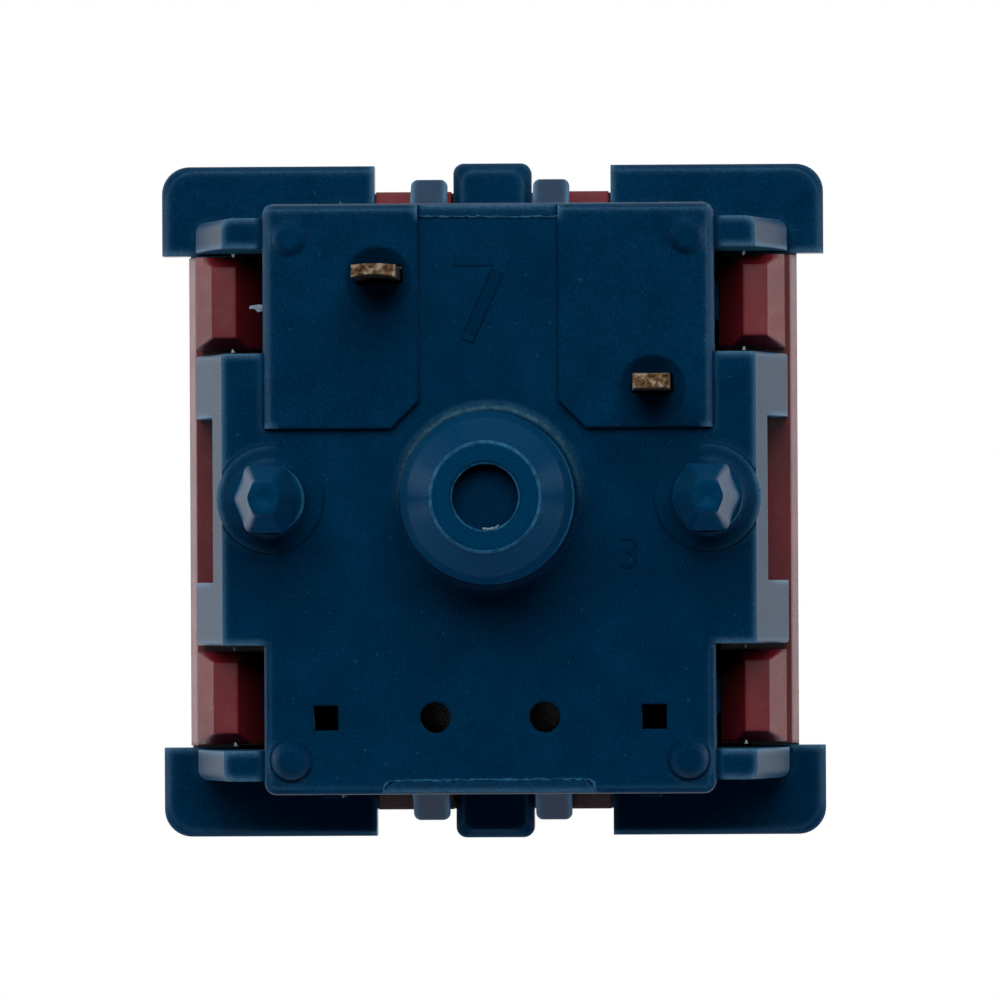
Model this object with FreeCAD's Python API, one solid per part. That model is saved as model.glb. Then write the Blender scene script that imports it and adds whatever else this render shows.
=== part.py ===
"""Mechanical keyboard switch, cross-stem type, with five pins in the board. Sizes in millimetres.

The board's top face is z = 0 and +Z points at the keycap. +Y points at the contact side and -Y at
the lamp side. The centre post's axis is the Z axis. Each real piece has its own function.
"""
import FreeCAD, Part
import math
import os

V = FreeCAD.Vector

# Board pattern: every pin and hole sits on this grid
grid = 1.27
moving_terminal_hole = (2 * grid, 4 * grid)
fixed_terminal_hole = (-3 * grid, 2 * grid)
fixing_pin_x = 4 * grid
lamp_hole_x = 1 * grid
diode_hole_x = 3 * grid
lamp_row_y = -4 * grid

# Heights above the board
pin_length = 3.3
face_z = 0.36
pad_z = 0.14
floor_thickness = 1.14
plate_z = 5.0
plate_thickness = 1.5
flange_thickness = 1.0
housing_top_z = 11.6
travel = 4.0
cross_height = 3.6

# Clearances
seat_gap = 0.05
slide_gap = 0.1
clip_gap = 0.1
slot_gap = 0.05
stop_gap = 0.05

# Pole, spring and the column between them
pole_diameter = 2.2
pole_tip_radius = 0.5
column_wall = 0.5
column_height = 2.5
spring_inner_gap = 0.19
spring_outer_gap = 0.24
wire_diameter = 0.22
active_turns = 9
closed_turns = 1
closed_spacing = 0.01
wire_sides = 6
steps_per_turn = 10

# Stem
stem_side_wall = 0.75
stem_end_wall = 0.4
stem_shoulder = 0.4
stem_step = 0.05
stem_block_radius = 0.35
stem_block_height = 1.7
spring_seat_depth = 2.2
rail_reach = 1.3
rail_width = 1.4
cross_width = 4.0
cross_arm_x = 1.3
cross_arm_y = 1.15
cross_chamfer = 0.15
leg_x = 2.0
leg_width = 0.9
leg_reach = 0.5
leg_lead = 0.25
leg_root = 0.2
leg_lead_height = 0.25
leg_lobe_height = 0.8
leg_slope_height = 1.6

# Contacts
leaf_thickness = 0.2
leaf_bend = 0.38
nose_radius = 0.2
nose_slope = 1.6
nose_rise = 0.27
leaf_neck = 0.15
leaf_width = 6.2
leaf_strip = 0.7
leaf_base_rise = 0.9
leaf_base_height = 1.4
leaf_back_gap = 0.3
finger_width = 1.0
moving_terminal_width = 1.02
moving_terminal_thickness = 0.25
moving_terminal_crown = 0.04
moving_terminal_hollow = 0.07
moving_terminal_offset = 0.17
fixed_thickness = 0.34
fixed_bend = 0.26
fixed_terminal_width = 0.84
fixed_terminal_offset = 0.11
fixed_side_gap = 0.17
fixed_shoulder = 0.2
fixed_plate_gap = 0.3
fixed_plate_height = 1.3
fixed_plate_lap = 0.65
fixed_tongue_width = 1.5
contact_z = 5.3
contact_gap = 0.35
bar_length = 1.1
bar_width = 0.4
bar_ridge_width = 0.13
bar_thickness = 0.2

# Bottom housing, outside
side_wall = 0.84
end_wall = 0.91
core_radius = 0.28
foot_radius = 0.15
middle_edge_radius = 0.08
middle_wall = 1.1
slope_out = 0.74
slope_height = 2.95
window_depth = 3.84
window_out = 0.26
corner_bar_inset = 0.31
corner_bar_depth = 0.71
corner_bar_rise = 0.45
corner_bar_radius = 0.25
pocket_depth = 2.45
flange_over_side = 0.63
flange_over_end = 0.62
flange_radius = 0.65
flange_chamfer = 0.12
flange_notch_gap = 0.94
flange_leg = 2.1
wall_rib_x = 3.7
wall_rib_width = 0.5
wall_rib_out = 0.08
end_lip_width = 5.0
end_lip_depth = 0.28
end_lip_inset = 0.04
end_lip_height = 0.04

# Bottom housing, board side
post_diameter = 3.98
post_fillet = 0.3
post_taper_diameter = 3.64
post_taper_length = 0.7
post_tip_diameter = 2.44
post_dimple_diameter = 1.6
post_dimple_depth = 0.6
post_web = 0.8
fixing_pin_diameter = 1.62
fixing_pin_flats = 1.52
fixing_pin_fillet = 0.1
fixing_head_length = 1.6
fixing_head_x = 0.78
fixing_head_corner = (0.46, 0.76)
fixing_head_edge_radius = 0.3
fixing_head_corner_radius = 0.12
fixing_head_taper = 0.5
fixing_tip_diameter = 0.74
fixing_tip_rounding = 0.35
fixing_dimple_diameter = 0.5
fixing_dimple_depth = 0.06
fixing_boss_diameter = 2.48
fixing_boss_height = 0.06
pad_inner_x = 1.63
pad_inner_y = 1.64
pad_corner = 0.63
pad_inset = 0.04
pad_chamfer = 0.1
bump_diameter = 0.93
bump_dome_height = 0.22
bump_dome_bulge = 0.023
bump_flat_diameter = 0.5
bump_inset = 0.63
bump_inset_y = 0.81
terminal_dimple_diameter = 1.54
terminal_dimple_depth = 0.45
lamp_hole_diameter = 0.72
diode_hole_width = 0.58

# Bottom housing, inside
bay_depth = 4.8
guide_top_z = 7.8
guide_wall = 0.6
root_depth = 0.45

# Plate latches
latch_inner_x = 1.01
latch_width = 0.84
latch_corner_radius = 0.16
latch_reach = 0.64
latch_nose = 0.35
latch_lead = 1.5
tongue_gap = 0.5
tongue_root = 0.33
tab_width = 1.84
tab_reach = 1.09
tab_corner_radius = 0.25
tab_chamfer = 0.2

# Top housing
skirt_over_side = 0.23
skirt_over_end = 0.42
skirt_radius = 0.9
skirt_band = 0.8
skirt_chamfer = 0.17
roof_lean_x = 1.57
roof_lean_y = 1.98
roof_radius = 1.0
shell_wall = 1.0
roof_thickness = 1.0
clip_side_gap = 0.15
clip_inset = 0.06
clip_tip_thickness = 0.96
clip_catch = 0.35
clip_bottom_z = 1.8
clip_bevel = 0.4
clip_lead = 0.6
clip_end_bevel = 0.25
clip_bar_height = 1.2
clip_window_edge = 0.55
nub_height = 1.3
lamp_slot_width = 5.2
lamp_slot_depth = 3.4
lamp_slot_rise = 1.65
lamp_wall = 0.75

# Levels that follow from the sizes above
floor_z = face_z + floor_thickness
flange_z = plate_z + flange_thickness
catch_z = plate_z - plate_thickness
well_floor_z = post_dimple_depth + post_web - pin_length
stem_bottom_z = floor_z + travel + stop_gap
roof_z = housing_top_z - roof_thickness
spring_seat_z = housing_top_z - spring_seat_depth
clip_bar_top_z = clip_bottom_z + clip_bar_height
lamp_slot_floor_z = flange_z + seat_gap + lamp_slot_rise

# Stem and spring, from the pole outwards
column_diameter = pole_diameter + 2 * (slide_gap + column_wall)
spring_diameter = column_diameter + 2 * spring_inner_gap + wire_diameter
spring_room = spring_diameter + wire_diameter + 2 * spring_outer_gap
stem_skirt_width = spring_room + 2 * stem_side_wall
stem_skirt_depth = spring_room + 2 * stem_end_wall
stem_block_width = stem_skirt_width + 2 * stem_shoulder
stem_block_depth = stem_skirt_depth - 2 * stem_step
rail_x = stem_skirt_width / 2 + rail_reach

# Contacts, from the stem's legs outwards
leg_y = stem_skirt_depth / 2 + leg_reach
fixed_plate_y = leg_y + fixed_plate_gap + fixed_thickness / 2
fixed_face_y = fixed_plate_y + fixed_thickness / 2
leaf_front_y = fixed_face_y + 2 * bar_thickness + contact_gap + leaf_thickness / 2
leaf_back_y = leaf_front_y + 2 * leaf_bend + slot_gap
moving_terminal_y = moving_terminal_hole[1] + moving_terminal_offset
fixed_terminal_y = fixed_terminal_hole[1] + fixed_terminal_offset
fixed_outer_x = fixed_terminal_hole[0] - fixed_terminal_width / 2

# Bottom housing, round the stem and the contacts
cavity_width = 2 * (fixed_side_gap - fixed_outer_x)
cavity_depth = 2 * (max(leaf_back_y, moving_terminal_y) + leaf_thickness / 2 + leaf_back_gap)
core_width = cavity_width + 2 * side_wall
core_depth = cavity_depth + 2 * end_wall
bay_width = 2 * (rail_x + slide_gap + guide_wall)
middle_width = bay_width + 2 * middle_wall
window_width = middle_width + 2 * window_out
pocket_outer_y = core_depth / 2 - corner_bar_inset - corner_bar_depth
pocket_inner_y = pocket_outer_y - pocket_depth
pocket_y = (pocket_inner_y + pocket_outer_y) / 2

# Top housing and flange, round the bottom housing
skirt_width = middle_width + 2 * (slope_out + skirt_over_side)
skirt_depth = core_depth + 2 * skirt_over_end
roof_width = skirt_width - 2 * roof_lean_x
roof_depth = skirt_depth - 2 * roof_lean_y
flange_width = skirt_width + 2 * flange_over_side
flange_depth = skirt_depth + 2 * flange_over_end
flange_opening = 2 * (latch_inner_x + latch_width + flange_notch_gap)
clip_outer_x = middle_width / 2 + slope_out - clip_inset
clip_tip_x = clip_outer_x - clip_tip_thickness
clip_inner_x = core_width / 2 + clip_gap
clip_width = pocket_depth - 2 * clip_side_gap
clip_window = clip_width - 2 * clip_window_edge


def block(x0, x1, y0, y1, z0, z1):
    """Box between two corners."""
    return Part.makeBox(x1 - x0, y1 - y0, z1 - z0, V(x0, y0, z0))


def rounded_outline(width, depth, radius, z):
    """Wire of a rectangle with round corners, centred on the Z axis."""
    x = width / 2
    y = depth / 2
    flat_x = x - radius
    flat_y = y - radius
    diagonal = radius * math.sqrt(0.5)
    edges = []
    for turn in range(4):
        signs = ((1, 1), (-1, 1), (-1, -1), (1, -1))[turn]
        start = (x, flat_y) if turn % 2 == 0 else (flat_x, y)
        end = (flat_x, y) if turn % 2 == 0 else (x, flat_y)
        middle = (flat_x + diagonal, flat_y + diagonal)
        corner = [V(px * signs[0], py * signs[1], z) for px, py in (start, middle, end)]
        if edges:
            edges.append(Part.makeLine(last, corner[0]))
        else:
            first = corner[0]
        edges.append(Part.Arc(*corner).toShape())
        last = corner[2]
    edges.append(Part.makeLine(last, first))
    return Part.Wire(edges)


def rounded_block(width, depth, radius, z0, z1):
    """Upright block with round corners, centred on the Z axis."""
    face = Part.Face(rounded_outline(width, depth, radius, z0))
    return face.extrude(V(0, 0, z1 - z0))


def stacked(outlines):
    """Solid with straight sides through a stack of outlines."""
    return Part.makeLoft(outlines, True, True)


def prism_x(points, x0, x1):
    """(y, z) polygon drawn out along X."""
    corners = [V(x0, y, z) for y, z in points]
    return Part.Face(Part.makePolygon(corners + corners[:1])).extrude(V(x1 - x0, 0, 0))


def prism_y(points, y0, y1):
    """(x, z) polygon drawn out along Y."""
    corners = [V(x, y0, z) for x, z in points]
    return Part.Face(Part.makePolygon(corners + corners[:1])).extrude(V(0, y1 - y0, 0))


def prism_z(points, z0, z1):
    """(x, y) polygon drawn out along Z."""
    corners = [V(x, y, z0) for x, y in points]
    return Part.Face(Part.makePolygon(corners + corners[:1])).extrude(V(0, 0, z1 - z0))


def turned(points, x=0, y=0):
    """(radius, z) polygon turned about a vertical axis through (x, y)."""
    corners = [V(x + radius, y, z) for radius, z in points]
    face = Part.Face(Part.makePolygon(corners + corners[:1]))
    return face.revolve(V(x, y, 0), V(0, 0, 1), 360)


def cylinder(diameter, z0, z1, x=0, y=0):
    """Upright cylinder."""
    return Part.makeCylinder(diameter / 2, z1 - z0, V(x, y, z0))


def mirror_x(shape):
    """The same shape on the other side of the YZ plane."""
    return shape.mirror(V(0, 0, 0), V(1, 0, 0))


def mirror_y(shape):
    """The same shape on the other side of the XZ plane."""
    return shape.mirror(V(0, 0, 0), V(0, 1, 0))


def in_four_corners(shape):
    """A shape at +X +Y and its three mirror images."""
    pair = [shape, mirror_x(shape)]
    return pair + [mirror_y(item) for item in pair]


def fused(shapes):
    """One solid from shapes that meet."""
    return shapes[0].multiFuse(shapes[1:]).removeSplitter()


def strip_side(path, offset, radii):
    """Stretches of one side of a bent strip, beside a (y, z) path with a radius at each bend."""
    normals = []
    for (y0, z0), (y1, z1) in zip(path, path[1:]):
        length = math.hypot(y1 - y0, z1 - z0)
        normals.append(((z0 - z1) / length, (y1 - y0) / length))
    corners = [(path[0][0] + normals[0][0] * offset, path[0][1] + normals[0][1] * offset)]
    for point, before, after in zip(path[1:-1], normals, normals[1:]):
        scale = offset / (1 + before[0] * after[0] + before[1] * after[1])
        corners.append((point[0] + (before[0] + after[0]) * scale,
                        point[1] + (before[1] + after[1]) * scale))
    corners.append((path[-1][0] + normals[-1][0] * offset, path[-1][1] + normals[-1][1] * offset))
    stretches = []
    start = corners[0]
    for index in range(1, len(corners) - 1):
        before = normals[index - 1]
        after = normals[index]
        turn = before[0] * after[1] - before[1] * after[0]
        bend = radii[index - 1] - offset if turn > 0 else radii[index - 1] + offset
        half = math.acos(max(-1, min(1, before[0] * after[0] + before[1] * after[1]))) / 2
        run = bend * math.tan(half)
        corner = corners[index]
        arrive = (corner[0] - before[1] * run, corner[1] + before[0] * run)
        leave = (corner[0] + after[1] * run, corner[1] - after[0] * run)
        to_centre = bend / math.cos(half) - bend
        inward = 1 if turn > 0 else -1
        bisector = (before[0] + after[0], before[1] + after[1])
        size = math.hypot(*bisector)
        middle = (corner[0] + inward * bisector[0] / size * to_centre,
                  corner[1] + inward * bisector[1] / size * to_centre)
        stretches.append((start, arrive))
        stretches.append((arrive, middle, leave))
        start = leave
    stretches.append((start, corners[-1]))
    return stretches


def bent_strip(path, thickness, radii, x0, x1):
    """Sheet of one thickness bent along a (y, z) path, drawn out along X."""
    left = strip_side(path, thickness / 2, radii)
    right = strip_side(path, -thickness / 2, radii)
    edges = []
    for stretch in left + right:
        points = [V(x0, y, z) for y, z in stretch]
        edges.append(Part.Arc(*points).toShape() if len(points) == 3 else Part.makeLine(*points))
    edges.append(Part.makeLine(V(x0, *left[0][0]), V(x0, *right[0][0])))
    edges.append(Part.makeLine(V(x0, *left[-1][-1]), V(x0, *right[-1][-1])))
    wire = Part.Wire(Part.sortEdges(edges)[0])
    return Part.Face(wire).extrude(V(x1 - x0, 0, 0))


def leaning_block(depth, radius, z0):
    """Block between side walls that lean out above the board, with round upright corners."""
    high_width = middle_width + 2 * slope_out
    bend_z = z0 + slope_height
    return stacked([
        rounded_outline(middle_width, depth, radius, z0),
        rounded_outline(high_width, depth, radius, bend_z),
        rounded_outline(high_width, depth, radius, plate_z),
    ])


def housing_walls():
    """Floor and walls of the bottom housing, still solid inside."""
    core = rounded_block(core_width, core_depth, core_radius, face_z, plate_z)
    foot = [edge for edge in core.Edges if edge.BoundBox.ZMax < face_z + seat_gap]
    core = core.makeFillet(foot_radius, foot)
    middle = leaning_block(2 * pocket_inner_y, middle_edge_radius, face_z)
    window_x = window_width / 2
    window = block(window_x, flange_width, -window_depth / 2, window_depth / 2, face_z, plate_z)
    middle = middle.cut([window, mirror_x(window)])
    bar_end_y = pocket_outer_y + corner_bar_depth
    bars = leaning_block(2 * bar_end_y, corner_bar_radius, face_z + corner_bar_rise)
    between = block(-flange_width, flange_width, -pocket_outer_y, pocket_outer_y, face_z, plate_z)
    bars = bars.cut(between)
    rib_x = wall_rib_x - wall_rib_width / 2
    rib = block(rib_x, rib_x + wall_rib_width, core_depth / 2 - root_depth,
                core_depth / 2 + wall_rib_out, face_z + 2 * foot_radius, plate_z)
    return [core, middle] + bars.Solids + in_four_corners(rib)


def flange_corners():
    """The four corners of the flange that rest on the plate, and the tab over each tongue."""
    chamfer = 2 * flange_chamfer
    plate = stacked([
        rounded_outline(flange_width - chamfer, flange_depth - chamfer, flange_radius, plate_z),
        rounded_outline(flange_width, flange_depth, flange_radius, plate_z + flange_chamfer),
        rounded_outline(flange_width, flange_depth, flange_radius, flange_z),
    ])
    leg_y0 = flange_depth / 2 - flange_leg
    corner = block(flange_opening / 2, flange_width, leg_y0, flange_depth, plate_z, flange_z)
    corners = [plate.common(item) for item in in_four_corners(corner)]
    chamfer = 2 * tab_chamfer
    depth = (core_depth - cavity_depth) / 2 + tab_reach
    tab = stacked([
        rounded_outline(tab_width - chamfer, depth - chamfer, tab_corner_radius, plate_z),
        rounded_outline(tab_width, depth, tab_corner_radius, plate_z + tab_chamfer),
        rounded_outline(tab_width, depth, tab_corner_radius, flange_z),
    ])
    tab.translate(V(0, (cavity_depth + depth) / 2, 0))
    return corners + [tab, mirror_y(tab)]


def plate_latches():
    """Two hooks on each tongue that snap under the mounting plate."""
    wall_y = core_depth / 2
    tip_y = wall_y + latch_reach
    root_y = wall_y - root_depth
    section = [(root_y, catch_z), (tip_y, catch_z), (tip_y, catch_z - latch_nose),
               (wall_y, catch_z - latch_lead), (root_y, catch_z - latch_lead)]
    hook = prism_x(section, latch_inner_x, latch_inner_x + latch_width)
    outline = rounded_block(latch_width, 2 * latch_reach, latch_corner_radius, floor_z, plate_z)
    outline.translate(V(latch_inner_x + latch_width / 2, wall_y, 0))
    return in_four_corners(hook.common(outline))


def tongue_slots():
    """Cuts beside each tongue that let it flex."""
    inner_x = latch_inner_x + latch_width
    slot = block(inner_x, inner_x + tongue_gap, cavity_depth / 2 - end_wall, core_depth,
                 floor_z + tongue_root, plate_z)
    return in_four_corners(slot)


def clip_nubs():
    """Wedges in the pockets that the top housing's loops snap over."""
    wall_x = core_width / 2
    ledge_z = clip_bar_top_z + seat_gap
    section = [(wall_x - root_depth, ledge_z), (clip_inner_x + clip_catch, ledge_z),
               (wall_x, ledge_z + nub_height), (wall_x - root_depth, ledge_z + nub_height)]
    half = clip_window / 2 - clip_gap
    return in_four_corners(prism_y(section, pocket_y - half, pocket_y + half))


def centre_post():
    """Post in the board's large hole, with a fillet at its root and a tapered tip."""
    radius = post_diameter / 2
    tip_z = -pin_length
    chamfer_z = tip_z + (post_taper_diameter - post_tip_diameter) / 2
    dimple = post_dimple_diameter / 2
    top_z = face_z + root_depth
    outer = radius + post_fillet
    low_z = face_z - post_fillet
    reach = post_fillet * math.sqrt(0.5)
    profile = [(radius, low_z), (radius, chamfer_z + post_taper_length),
               (post_taper_diameter / 2, chamfer_z), (post_tip_diameter / 2, tip_z), (dimple, tip_z),
               (dimple, tip_z + post_dimple_depth), (0, tip_z + post_dimple_depth), (0, top_z),
               (outer, top_z), (outer, face_z)]
    sides = Part.makePolygon([V(x, 0, z) for x, z in profile]).Edges
    fillet = Part.Arc(V(outer, 0, face_z), V(outer - reach, 0, low_z + reach), V(radius, 0, low_z))
    face = Part.Face(Part.Wire(sides + [fillet.toBSpline().toShape()]))
    return face.revolve(V(0, 0, 0), V(0, 0, 1), 360)


def pin_head(z0, z1):
    """Tapered six-sided head of a fixing pin, with one rounded edge outwards and one inwards."""
    corner_x, corner_y = fixing_head_corner
    half = [(fixing_head_x, 0), (corner_x, corner_y), (-corner_x, corner_y)]
    points = half + [(-x, -y) for x, y in half]
    outlines = []
    for scale, z in ((fixing_head_taper, z0), (1, z1)):
        corners = [V(fixing_pin_x + x * scale, y * scale, z) for x, y in points]
        outlines.append(Part.makePolygon(corners + corners[:1]))
    head = stacked(outlines)
    slanted = [edge for edge in head.Edges if edge.BoundBox.ZLength > 0]
    outer = [edge for edge in slanted if abs(edge.CenterOfMass.y) < seat_gap]
    corner = [edge for edge in slanted if abs(edge.CenterOfMass.y) > seat_gap]
    return head.makeFillet(fixing_head_edge_radius, outer).makeFillet(fixing_head_corner_radius, corner)


def fixing_pin():
    """Pin in one of the board's two small holes: flattened shank, faceted tapered head, low boss."""
    radius = fixing_pin_diameter / 2
    tip = fixing_tip_diameter / 2
    tip_z = -pin_length
    head_z = tip_z + fixing_head_length
    top_z = face_z + root_depth
    flats = block(fixing_pin_x - radius, fixing_pin_x + radius,
                  -fixing_pin_flats / 2, fixing_pin_flats / 2, head_z, top_z)
    shank = cylinder(fixing_pin_diameter, head_z, top_z, fixing_pin_x).common(flats)
    head = pin_head(tip_z, head_z)
    rounding_z = tip_z + fixing_tip_rounding
    envelope = turned([(0, tip_z), (tip, tip_z), (radius, rounding_z), (2 * radius, rounding_z),
                       (2 * radius, head_z), (0, head_z)], fixing_pin_x)
    dimple = Part.makeCone(fixing_dimple_diameter / 2, 0, fixing_dimple_depth, V(fixing_pin_x, 0, tip_z))
    pin = fused([shank, head.common(envelope).cut(dimple)])
    boss_z = face_z - fixing_boss_height
    boss = cylinder(fixing_boss_diameter, boss_z, top_z, fixing_pin_x)
    root = Part.makeCone(radius, radius + fixing_pin_fillet, fixing_pin_fillet,
                         V(fixing_pin_x, 0, boss_z - fixing_pin_fillet))
    return [pin, boss, root]


def stand_off_bump():
    """Domed bump with a flat tip that rests on the board."""
    x = core_width / 2 - bump_inset
    y = core_depth / 2 - bump_inset_y
    top_z = face_z + root_depth
    tip = V(x + bump_flat_diameter / 2, y, 0)
    rim = V(x + bump_diameter / 2, y, bump_dome_height)
    outwards = V(rim.z - tip.z, 0, tip.x - rim.x).normalize()
    dome = Part.Arc(tip, (tip + rim) / 2 + outwards * bump_dome_bulge, rim)
    sides = Part.makePolygon([rim, V(rim.x, y, top_z), V(x, y, top_z), V(x, y, 0), tip]).Edges
    face = Part.Face(Part.Wire(sides + [dome.toBSpline().toShape()]))
    return face.revolve(V(x, y, 0), V(0, 0, 1), 360)


def pad_outline(inset, z):
    """Outline of the pad at +X, set in from the housing's outer faces."""
    outer_x = core_width / 2 - inset
    outer_y = core_depth / 2 - inset
    points = [(pad_inner_x, outer_y), (pad_inner_x, pad_inner_y + pad_corner),
              (pad_inner_x + pad_corner, pad_inner_y), (outer_x, pad_inner_y), (outer_x, outer_y)]
    corners = [V(x, y, z) for x, y in points]
    return Part.makePolygon(corners + corners[:1])


def board_side():
    """Pads, stand-off bumps, post and pins under the floor."""
    top_z = face_z + root_depth
    pad = stacked([pad_outline(pad_inset + pad_chamfer, pad_z), pad_outline(pad_inset, pad_z + pad_chamfer),
                   pad_outline(pad_inset, top_z)])
    pad = pad.common(rounded_block(core_width, core_depth, core_radius, pad_z, top_z))
    lip_x = end_lip_width / 2
    lip_y = core_depth / 2 - end_lip_inset
    low_y = lip_y - end_lip_depth
    lip = prism_z([(-lip_x, lip_y), (-lip_x, low_y + end_lip_depth), (end_lip_depth - lip_x, low_y),
                   (lip_x - end_lip_depth, low_y), (lip_x, lip_y)], face_z - end_lip_height, top_z)
    pins = fixing_pin()
    return ([pad, mirror_x(pad), lip, mirror_y(lip), centre_post()] + in_four_corners(stand_off_bump())
            + pins + [mirror_x(item) for item in pins])


def stem_guides():
    """U-shaped uprights at both sides that the stem's rails run in."""
    inner_y = rail_width / 2 + slide_gap
    outer_y = inner_y + guide_wall
    inner_x = stem_block_width / 2 + 2 * slide_gap
    outer_x = rail_x + slide_gap + guide_wall
    upright = block(inner_x, outer_x, -outer_y, outer_y, floor_z - root_depth, guide_top_z)
    groove = block(0, rail_x + slide_gap, -inner_y, inner_y, floor_z, guide_top_z)
    guide = upright.cut(groove)
    return [guide, mirror_x(guide)]


def terminal_slot(centre_x, centre_y, width, thickness):
    """Cut in the floor that a terminal is pressed through."""
    half_x = width / 2 + slot_gap
    half_y = thickness / 2 + slot_gap
    return block(centre_x - half_x, centre_x + half_x, centre_y - half_y, centre_y + half_y,
                 -pin_length, floor_z)


def floor_holes():
    """Terminal slots with their dimples, and the lamp and diode holes."""
    cuts = []
    for x, y in (moving_terminal_hole, fixed_terminal_hole):
        outer = terminal_dimple_diameter / 2
        inner = outer - terminal_dimple_depth
        cuts.append(Part.makeCone(outer, inner, terminal_dimple_depth, V(x, y, pad_z)))
    cuts.append(terminal_slot(moving_terminal_hole[0], moving_terminal_y - moving_terminal_hollow / 2,
                              moving_terminal_width, moving_terminal_thickness + moving_terminal_hollow))
    cuts.append(terminal_slot(fixed_terminal_hole[0], fixed_terminal_y, fixed_terminal_width,
                              fixed_thickness))
    half = diode_hole_width / 2
    for side in (-1, 1):
        cuts.append(cylinder(lamp_hole_diameter, 0, floor_z, side * lamp_hole_x, lamp_row_y))
        x = side * diode_hole_x
        cuts.append(block(x - half, x + half, lamp_row_y - half, lamp_row_y + half, 0, floor_z))
    return cuts


def bottom_housing():
    """Lower moulding: floor, walls, flange corners, latches, post and pins."""
    shell = fused(housing_walls() + flange_corners() + plate_latches() + clip_nubs() + board_side())
    cavity = block(-cavity_width / 2, cavity_width / 2, -cavity_depth / 2, cavity_depth / 2,
                   floor_z, flange_z)
    bay = block(-bay_width / 2, bay_width / 2, -bay_depth / 2, bay_depth / 2, floor_z, flange_z)
    shell = shell.cut([cavity, bay] + tongue_slots())
    column = cylinder(column_diameter, floor_z - root_depth, floor_z + column_height)
    shell = fused([shell, column] + stem_guides())
    well = cylinder(pole_diameter + 2 * slide_gap, well_floor_z, floor_z + column_height)
    return shell.cut([well] + floor_holes())


def tapered_shell(inset, bottom_z, top_z):
    """Body of the top housing: an upright band, then walls that lean in to the roof."""
    band_z = flange_z + seat_gap + skirt_band
    lean = (top_z - band_z) / (housing_top_z - band_z)
    top_width = skirt_width + (roof_width - skirt_width) * lean - 2 * inset
    top_depth = skirt_depth + (roof_depth - skirt_depth) * lean - 2 * inset
    return stacked([
        rounded_outline(skirt_width - 2 * inset, skirt_depth - 2 * inset, skirt_radius, bottom_z),
        rounded_outline(skirt_width - 2 * inset, skirt_depth - 2 * inset, skirt_radius, band_z),
        rounded_outline(top_width, top_depth, roof_radius, top_z),
    ])


def clip_loop():
    """One loop that hangs in a pocket: a bar with a long lead-in slope, bevels and a window over it."""
    half = clip_width / 2
    y0 = pocket_y - half
    y1 = pocket_y + half
    strap = block(clip_inner_x, clip_outer_x, y0, y1, clip_bar_top_z, plate_z + 2 * seat_gap)
    slope = (clip_tip_x - clip_inner_x) / clip_bar_height
    levels = (
        (clip_bottom_z, clip_tip_x, clip_bevel, clip_end_bevel),
        (clip_bottom_z + clip_lead, clip_tip_x - clip_lead * slope, 0, 0),
        (clip_bar_top_z, clip_inner_x, 0, 0),
    )
    outlines = []
    for z, inner_x, outer_bevel, end_bevel in levels:
        outer_x = clip_outer_x - outer_bevel
        corners = [V(inner_x, y0 + end_bevel, z), V(outer_x, y0 + end_bevel, z),
                   V(outer_x, y1 - end_bevel, z), V(inner_x, y1 - end_bevel, z)]
        outlines.append(Part.makePolygon(corners + corners[:1]))
    tip = stacked(outlines)
    window = block(0, flange_width, pocket_y - clip_window / 2, pocket_y + clip_window / 2,
                   clip_bar_top_z, plate_z)
    return fused([strap, tip]).cut(window)


def skirt_bars():
    """Parts of the skirt that fill the flange openings, with a notch over each tab."""
    z0 = plate_z + seat_gap
    z1 = flange_z + 2 * seat_gap
    side_y = flange_depth / 2 - flange_leg - seat_gap
    inner_x = core_width / 2 + clip_gap
    outer_x = skirt_width / 2
    side = prism_y([(inner_x, z0), (outer_x - skirt_chamfer, z0), (outer_x, z0 + skirt_chamfer),
                    (outer_x, z1), (inner_x, z1)], -side_y, side_y)
    end_x = flange_opening / 2 - seat_gap
    end = block(-end_x, end_x, cavity_depth / 2 + seat_gap, skirt_depth / 2, z0, z1)
    notch_x = tab_width / 2 + seat_gap
    notch = block(-notch_x, notch_x, 0, flange_depth, z0, flange_z + seat_gap)
    end = end.cut(notch)
    return [side, mirror_x(side), end, mirror_y(end)]


def top_housing():
    """Upper moulding: tapered shell, stem window, lamp slot and four clip loops."""
    base_z = flange_z + seat_gap
    outside = tapered_shell(0, base_z, housing_top_z)
    inside = tapered_shell(shell_wall, base_z, roof_z)
    shell = outside.cut(inside)
    slot_back_y = -(stem_block_depth / 2 + slide_gap + lamp_wall)
    slot_front_y = slot_back_y - lamp_slot_depth
    box_x = lamp_slot_width / 2 + lamp_wall
    box = block(-box_x, box_x, slot_front_y, slot_back_y + lamp_wall,
                lamp_slot_floor_z - lamp_wall, housing_top_z)
    shell = fused([shell, box.common(outside)] + skirt_bars() + in_four_corners(clip_loop()))
    slot = block(-lamp_slot_width / 2, lamp_slot_width / 2, -skirt_depth, slot_back_y,
                 lamp_slot_floor_z, housing_top_z)
    window = rounded_block(stem_block_width + 3 * slide_gap, stem_block_depth + 2 * slide_gap,
                           stem_block_radius, roof_z - stem_block_height, housing_top_z)
    return shell.cut([slot, window])


def stem_legs():
    """Two ramps on the contact side that hold the sprung leaf off until the stem goes down."""
    root_y = stem_skirt_depth / 2 - leg_root
    low_y = leg_y - leg_lead
    z0 = stem_bottom_z
    lobe_z = z0 + leg_lead_height
    slope_z = lobe_z + leg_lobe_height
    section = [(root_y, z0), (low_y, z0), (leg_y, lobe_z), (leg_y, slope_z),
               (stem_skirt_depth / 2, slope_z + leg_slope_height), (root_y, slope_z + leg_slope_height)]
    leg = prism_x(section, leg_x - leg_width / 2, leg_x + leg_width / 2)
    return [leg, mirror_x(leg)]


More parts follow.
